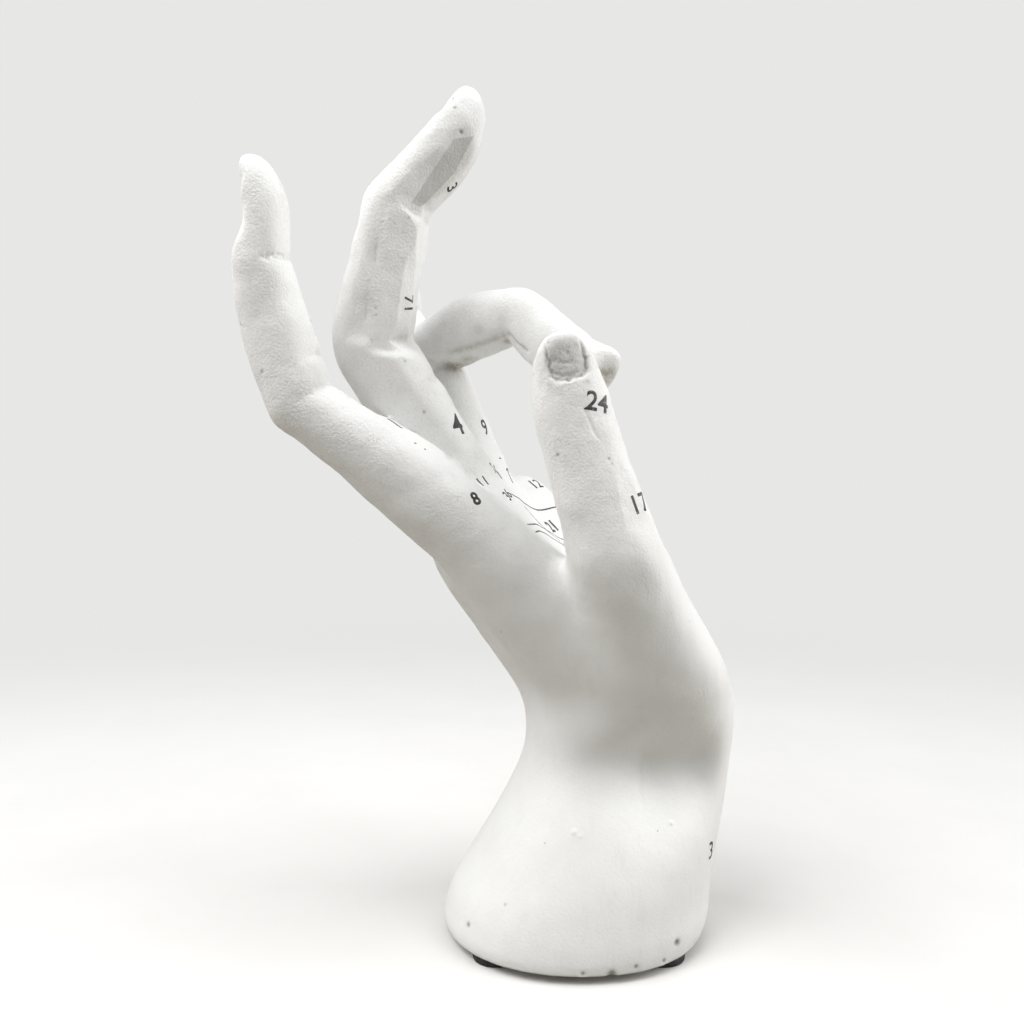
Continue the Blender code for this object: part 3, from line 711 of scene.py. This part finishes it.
def curve_through(points):
    """Points close together on a smooth curve through a few."""
    table = np.array(points, float)
    padded = np.vstack([2 * table[:1] - table[1:2], table, 2 * table[-1:] - table[-2:-1]])
    rows = []
    for p0, p1, p2, p3 in zip(padded, padded[1:], padded[2:], padded[3:]):
        for t in np.arange(LINE_STEPS) / LINE_STEPS:
            bend = (2 * p0 - 5 * p1 + 4 * p2 - p3) * t**2
            twist = (3 * p1 - p0 - 3 * p2 + p3) * t**3
            rows.append(0.5 * (2 * p1 + (p2 - p0) * t + bend + twist))
    return rows + [table[-1]]


def add_line(shape, tree, rays):
    """A thin flat thread of ink over the skin."""
    hits = [tree.ray_cast(*ray)[:2] for ray in rays]
    hits = [(np.array(place), np.array(normal)) for place, normal in hits if place is not None]
    rows = []
    for k, (place, normal) in enumerate(hits):
        along = unit(hits[min(k + 1, len(hits) - 1)][0] - hits[max(k - 1, 0)][0])
        taper = min(1.0, LINE_END + LINE_GAIN * min(k, len(hits) - 1 - k))
        across = unit(np.cross(normal, along)) * LINE_WIDTH / 2 * taper
        top, bottom = place + normal * INK_RISE, place - normal * INK_SINK
        corners = (top - across, top + across, bottom + across, bottom - across)
        rows.append([shape.verts.new(corner) for corner in corners])
    for low, high in zip(rows, rows[1:]):
        for k in range(len(low)):
            following = (k + 1) % len(low)
            shape.faces.new((low[k], low[following], high[following], high[k]))
    shape.faces.new(rows[0][::-1])
    shape.faces.new(rows[-1])


def printed_chart(skin):
    tree = tree_of(skin.data)
    shape = bmesh.new()
    numeral_tables = (SEEN_NUMERALS, camera_ray), (PALM_NUMERALS, palm_ray), (FINGER_NUMERALS, bone_ray)
    for numerals, ray_of in numeral_tables:
        for text, spot, height, turn, wider in numerals:
            add_numeral(shape, tree, ray_of(*spot), text, height, turn, wider)
    for lines, ray_of in ((SEEN_LINES, camera_ray), (PALM_LINES, palm_ray)):
        for line in lines:
            add_line(shape, tree, [ray_of(*spot) for spot in curve_through(line)])
    bmesh.ops.recalc_face_normals(shape, faces=shape.faces)
    mesh = bpy.data.meshes.new("printed_chart")
    shape.to_mesh(mesh)
    shape.free()
    return link("printed_chart", mesh)


# Materials: base colours from the resin's own white down to its stains and painted shade, and the other
# pieces' colours
RESIN_CLEAN, RESIN_PATCH = (0.86, 0.862, 0.855), (0.842, 0.842, 0.830)
RESIN_STREAK = (0.74, 0.74, 0.72)
RESIN_HOLLOW_SHADE = (0.55, 0.545, 0.51)
RESIN_SAND = (0.58, 0.58, 0.565)
RESIN_PLANED_SHADE = (0.61, 0.61, 0.595)
RESIN_STAIN_AND_SHADE = (0.36, 0.335, 0.27)
RESIN_PIT_SHADE = (0.20, 0.19, 0.17)
NAIL_GREY = (0.33, 0.33, 0.32)
SPECK_DARK = (0.16, 0.15, 0.13)
RUBBER_BLACK, RUBBER_DUSTY = (0.014, 0.014, 0.016), (0.05, 0.05, 0.05)
INK_BLACK, INK_WORN = (0.014, 0.013, 0.013), (0.30, 0.29, 0.27)

# How strongly the resin's layers show, and its bumps' depths
STREAK_SHARE, PIT_SHARE, SPECK_SHARE = 0.25, 0.65, 0.8
GRAIN_DEPTH, DIMPLE_DEPTH, STREAK_DEPTH = 0.00026, 0.00010, 0.00003
RESIN_SPECULAR = 0.35
RUBBER_GRAIN = 0.00004
SANDY_FROM, SANDY_LOW = (0.085, 0.150), 0.3  # heights between which the grain grows, and its share below

# Specks in the resin: how far apart their cells lie, their radius and the share of cells that has one
SPECKS_LARGE = (0.0062, 0.00022, 0.16)
SPECKS_SMALL = (0.0034, 0.00012, 0.12)
SPECK_CORE = 0.6


def new_material(name):
    made = bpy.data.materials.new(name)
    made.use_nodes = True
    return made, made.node_tree, made.node_tree.nodes["Principled BSDF"]


class Nodes:
    """Adds nodes to a tree and joins them."""

    def __init__(self, tree):
        self.tree = tree
        self.place = self.add("ShaderNodeTexCoord").outputs["Object"]

    def add(self, kind, **settings):
        node = self.tree.nodes.new(kind)
        for name, value in settings.items():
            setattr(node, name, value)
        return node

    def join(self, value, socket):
        if isinstance(value, bpy.types.NodeSocket):
            self.tree.links.new(value, socket)
        else:
            socket.default_value = value

    def noise(self, size, detail=2.0, roughness=0.5, distortion=0.0, stretch=None):
        """Noise with features about size wide, in metres."""
        settings = {"Scale": 1 / size, "Detail": detail, "Roughness": roughness, "Distortion": distortion}
        node = self.add("ShaderNodeTexNoise")
        place = self.place
        if stretch:
            mapping = self.add("ShaderNodeMapping")
            mapping.inputs["Scale"].default_value = stretch
            self.join(place, mapping.inputs["Vector"])
            place = mapping.outputs["Vector"]
        self.join(place, node.inputs["Vector"])
        for name, value in settings.items():
            node.inputs[name].default_value = value
        return node.outputs["Fac"]

    def attribute(self, name):
        return self.add("ShaderNodeAttribute", attribute_name=name).outputs["Fac"]

    def math(self, operation, first, second):
        node = self.add("ShaderNodeMath", operation=operation)
        self.join(first, node.inputs[0])
        self.join(second, node.inputs[1])
        return node.outputs[0]

    def between(self, value, low, high, to_low=0.0, to_high=1.0):
        """to_low where the value is low, to_high where it is high, smooth between."""
        node = self.add("ShaderNodeMapRange", clamp=True, interpolation_type="SMOOTHSTEP")
        self.join(value, node.inputs["Value"])
        for name, limit in (("From Min", low), ("From Max", high), ("To Min", to_low), ("To Max", to_high)):
            node.inputs[name].default_value = limit
        return node.outputs["Result"]

    def mix(self, amount, first, second):
        node = self.add("ShaderNodeMix", data_type="RGBA")
        self.join(amount, node.inputs["Factor"])
        for value, socket in ((first, node.inputs[6]), (second, node.inputs[7])):
            self.join(value if isinstance(value, bpy.types.NodeSocket) else (*value, 1.0), socket)
        return node.outputs[2]

    def inside(self, sides, edge):
        """1 where the place lies inside all the planes, 0 elsewhere."""
        least = 1.0
        for inwards, level in sides:
            reach = self.add("ShaderNodeVectorMath", operation="DOT_PRODUCT")
            self.join(self.place, reach.inputs[0])
            reach.inputs[1].default_value = inwards
            least = self.math("MINIMUM", self.math("SUBTRACT", reach.outputs["Value"], level), least)
        return self.between(least, -edge, edge)

    def specks(self, spacing, size, share):
        """Round specks, one in share of the cells that lie spacing apart."""
        cells = self.add("ShaderNodeTexVoronoi")
        self.join(self.place, cells.inputs["Vector"])
        cells.inputs["Scale"].default_value = 1 / spacing
        radius = size / spacing
        dot = self.between(cells.outputs["Distance"], radius * SPECK_CORE, radius, to_low=1.0, to_high=0.0)
        draw = self.add("ShaderNodeSeparateColor")
        self.join(cells.outputs["Color"], draw.inputs["Color"])
        return self.math("MULTIPLY", dot, self.math("LESS_THAN", draw.outputs["Red"], share))

    def bump(self, height, depth, below=None):
        node = self.add("ShaderNodeBump")
        node.inputs["Strength"].default_value = 1.0
        node.inputs["Distance"].default_value = depth
        self.join(height, node.inputs["Height"])
        if below:
            self.join(below, node.inputs["Normal"])
        return node.outputs["Normal"]


def resin():
    """White, with patches, streaks, painted shade in hollows, grain, painted shade on the planed face, stains
    with some painted shade, painted shade in pits, grey nails with painted shade in their grooves, and
    specks.
    """
    made, tree, shader = new_material("white_resin")
    n = Nodes(tree)
    patches = n.between(n.noise(size=0.014, detail=4, roughness=0.6), low=0.42, high=0.68)
    colour = n.mix(patches, RESIN_CLEAN, RESIN_PATCH)
    flow = n.noise(size=0.004, detail=3, roughness=0.6, distortion=0.4, stretch=(1.0, 1.0, 0.22))
    streaks = n.between(flow, low=0.55, high=0.75)
    colour = n.mix(n.math("MULTIPLY", streaks, STREAK_SHARE), colour, RESIN_STREAK)
    height = n.add("ShaderNodeSeparateXYZ")
    n.join(n.place, height.inputs[0])
    sandy = n.between(height.outputs["Z"], *SANDY_FROM, to_low=SANDY_LOW, to_high=1.0)
    cloudy = n.noise(size=0.003, detail=3, roughness=0.7)
    uneven = n.between(cloudy, low=0.3, high=0.7, to_low=0.1, to_high=0.45)
    # painted shade in the hollows, broken up by noise and mostly on the sandy upper part
    wear_and_shade = n.math("MULTIPLY", n.attribute("hollow"), uneven)
    colour = n.mix(n.math("MULTIPLY", wear_and_shade, sandy), colour, RESIN_HOLLOW_SHADE)
    grit = n.between(n.noise(size=0.0006, detail=2, roughness=0.7), low=0.48, high=0.70, to_high=0.26)
    colour = n.mix(n.math("MULTIPLY", grit, sandy), colour, RESIN_SAND)
    # painted shade on the planed face of the middle finger's last bone
    planed_shade = n.math("MULTIPLY", n.inside(planed_sides(), PLANED_EDGE), n.attribute("planed"))
    cloudy = n.noise(size=0.002, detail=3, roughness=0.7)
    uneven = n.between(cloudy, low=0.3, high=0.7, to_low=0.8)
    colour = n.mix(n.math("MULTIPLY", planed_shade, uneven), colour, RESIN_PLANED_SHADE)
    cloudy = n.noise(size=0.0022, detail=4, roughness=0.7)
    uneven = n.between(cloudy, low=0.32, high=0.58, to_low=0.35, to_high=0.95)
    # stains, partly painted shade under the ring finger's tip and middle bone and along its facet edges
    colour = n.mix(n.math("MULTIPLY", n.attribute("stain_and_shade"), uneven), colour, RESIN_STAIN_AND_SHADE)
    # painted shade in the pits, darker the deeper they are
    colour = n.mix(n.math("MULTIPLY", n.attribute("pit"), PIT_SHARE), colour, RESIN_PIT_SHADE)
    cloudy = n.noise(size=0.0012, detail=3, roughness=0.7)
    uneven = n.between(cloudy, low=0.3, high=0.7, to_low=0.6)
    # grey nail plates, with painted shade in their grooves
    colour = n.mix(n.math("MULTIPLY", n.attribute("nail"), uneven), colour, NAIL_GREY)
    dots = n.math("MAXIMUM", n.specks(*SPECKS_LARGE), n.specks(*SPECKS_SMALL))
    colour = n.mix(n.math("MULTIPLY", dots, SPECK_SHARE), colour, SPECK_DARK)
    n.join(colour, shader.inputs["Base Color"])
    dull = n.between(n.noise(size=0.005, detail=3), low=0.3, high=0.7, to_low=0.50, to_high=0.66)
    n.join(dull, shader.inputs["Roughness"])
    shader.inputs["Specular IOR Level"].default_value = RESIN_SPECULAR
    coarse = n.between(n.noise(size=0.020), low=0.35, high=0.65, to_low=0.45)
    grain = n.math("MULTIPLY", n.noise(size=0.0007, roughness=0.65), coarse)
    normal = n.bump(n.math("MULTIPLY", grain, sandy), GRAIN_DEPTH)
    dimples = n.math("MULTIPLY", n.noise(size=0.0018, distortion=0.6), sandy)
    normal = n.bump(dimples, DIMPLE_DEPTH, normal)
    normal = n.bump(streaks, STREAK_DEPTH, normal)
    n.join(normal, shader.inputs["Normal"])
    return made


def rubber():
    made, tree, shader = new_material("black_rubber")
    n = Nodes(tree)
    dust = n.between(n.noise(size=0.002, detail=4, roughness=0.7), low=0.4, high=0.8)
    n.join(n.mix(dust, RUBBER_BLACK, RUBBER_DUSTY), shader.inputs["Base Color"])
    dull = n.between(n.noise(size=0.0012, detail=3), low=0.3, high=0.7, to_low=0.62, to_high=0.85)
    n.join(dull, shader.inputs["Roughness"])
    n.join(n.bump(n.noise(size=0.0004), RUBBER_GRAIN), shader.inputs["Normal"])
    return made


def ink():
    made, tree, shader = new_material("black_ink")
    n = Nodes(tree)
    wear_and_shade = n.between(n.noise(size=0.0011, detail=4, roughness=0.75), low=0.54, high=0.70)
    n.join(n.mix(wear_and_shade, INK_BLACK, INK_WORN), shader.inputs["Base Color"])
    dull = n.between(n.noise(size=0.0008), low=0.3, high=0.7, to_low=0.42, to_high=0.6)
    n.join(dull, shader.inputs["Roughness"])
    return made


# Floor and backdrop: the camera sees them pale, and the light that the floor throws back is darker and warmer
PALE = (0.80, 0.805, 0.79)
FLOOR_DARKER, FLOOR_LIGHTER = (0.79, 0.785, 0.77), (0.81, 0.805, 0.79)
BOUNCE = (0.29, 0.268, 0.23)
FLOOR_REACH = 6.0
FLOOR_SEGMENTS = 64
FLOOR_FADE = (0.12, 0.6)  # distances between which the floor turns into the plain backdrop
WORLD_LIGHT, WORLD_SHOWN = 0.03, 1.0


def build_floor():
    shape = bmesh.new()
    bmesh.ops.create_circle(shape, cap_ends=True, segments=FLOOR_SEGMENTS, radius=FLOOR_REACH)
    mesh = bpy.data.meshes.new("floor")
    shape.to_mesh(mesh)
    shape.free()
    floor = link("floor", mesh)
    made, tree, shader = new_material("pale_floor")
    n = Nodes(tree)
    seen = n.add("ShaderNodeLightPath").outputs["Is Camera Ray"]
    shade = n.mix(n.between(n.noise(size=0.05, detail=3), low=0.3, high=0.7), FLOOR_DARKER, FLOOR_LIGHTER)
    n.join(n.mix(seen, BOUNCE, shade), shader.inputs["Base Color"])
    dull = n.between(n.noise(size=0.01, detail=3), low=0.3, high=0.7, to_low=0.55, to_high=0.7)
    n.join(dull, shader.inputs["Roughness"])
    distance = n.add("ShaderNodeVectorMath", operation="LENGTH")
    n.join(n.place, distance.inputs[0])
    glow = n.add("ShaderNodeEmission")
    glow.inputs["Color"].default_value = (*PALE, 1.0)
    blend = n.add("ShaderNodeMixShader")
    far = n.between(distance.outputs["Value"], *FLOOR_FADE)
    n.join(n.math("MULTIPLY", far, seen), blend.inputs["Fac"])
    tree.links.new(shader.outputs["BSDF"], blend.inputs[1])
    tree.links.new(glow.outputs["Emission"], blend.inputs[2])
    tree.links.new(blend.outputs["Shader"], tree.nodes["Material Output"].inputs["Surface"])
    floor.data.materials.append(made)


def build_world():
    world = bpy.data.worlds.new("studio")
    world.use_nodes = True
    tree = world.node_tree
    background = tree.nodes["Background"]
    path = tree.nodes.new("ShaderNodeLightPath")
    shown = tree.nodes.new("ShaderNodeMath")
    shown.operation = "MAXIMUM"
    tree.links.new(path.outputs["Is Camera Ray"], shown.inputs[0])
    tree.links.new(path.outputs["Is Glossy Ray"], shown.inputs[1])
    strength = tree.nodes.new("ShaderNodeMapRange")
    strength.inputs["To Min"].default_value = WORLD_LIGHT
    strength.inputs["To Max"].default_value = WORLD_SHOWN
    tree.links.new(shown.outputs[0], strength.inputs["Value"])
    tree.links.new(strength.outputs["Result"], background.inputs["Strength"])
    background.inputs["Color"].default_value = (*PALE, 1.0)
    bpy.context.scene.world = world


# Lamps: name, degrees round from +X towards +Y, degrees above level, and watts
LAMPS = (
    ("front_lamp", 220, 55, 6.5),
    ("front_left_lamp", 205, 25, 2.3),
    ("left_lamp", 165, 38, 3.6),
    ("front_right_lamp", 325, 30, 2.1),
    ("right_lamp", 5, 10, 5.0),
    ("high_right_lamp", 345, 50, 3.3),
    ("top_lamp", 270, 85, 2.4),
)
LAMP_SIZE = 0.60
LAMP_DISTANCE = 1.0
LAMP_TARGET = Vector((0.0, 0.0, 0.12))


def build_lamps():
    for name, azimuth, elevation, watts in LAMPS:
        light = bpy.data.lights.new(name, "AREA")
        light.size = LAMP_SIZE
        light.energy = watts
        lamp = link(name, light)
        azimuth, elevation = math.radians(azimuth), math.radians(elevation)
        level = math.cos(elevation)
        way = Vector((level * math.cos(azimuth), level * math.sin(azimuth), math.sin(elevation)))
        lamp.location = BASE + LAMP_TARGET + way * LAMP_DISTANCE
        lamp.rotation_euler = (-way).to_track_quat("-Z", "Y").to_euler()


def build_camera():
    made = bpy.data.cameras.new("camera")
    made.sensor_width = SENSOR
    made.sensor_fit = "HORIZONTAL"
    made.lens = SENSOR * FOCAL_PIXELS / PICTURE
    made.clip_start = CLIP_START
    camera = link("camera", made)
    camera.location = BASE + CAMERA_AT
    camera.rotation_euler = (math.pi / 2 - CAMERA_PITCH, 0.0, 0.0)
    bpy.context.scene.camera = camera


skin = dense_skin()
sculpt(skin)
lighten(skin)
skin.data.shade_smooth()
skin.data.materials.append(resin())
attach(skin, "root")
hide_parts("hand_casting")

chart = printed_chart(skin)
chart.data.shade_smooth()
chart.data.materials.append(ink())
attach(chart, "root")

black = rubber()
for name in PADS:
    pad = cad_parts[name]
    pad.data.materials.clear()
    pad.data.materials.append(black)

build_floor()
build_world()
build_lamps()
build_camera()
bpy.context.scene.view_settings.view_transform = "Standard"
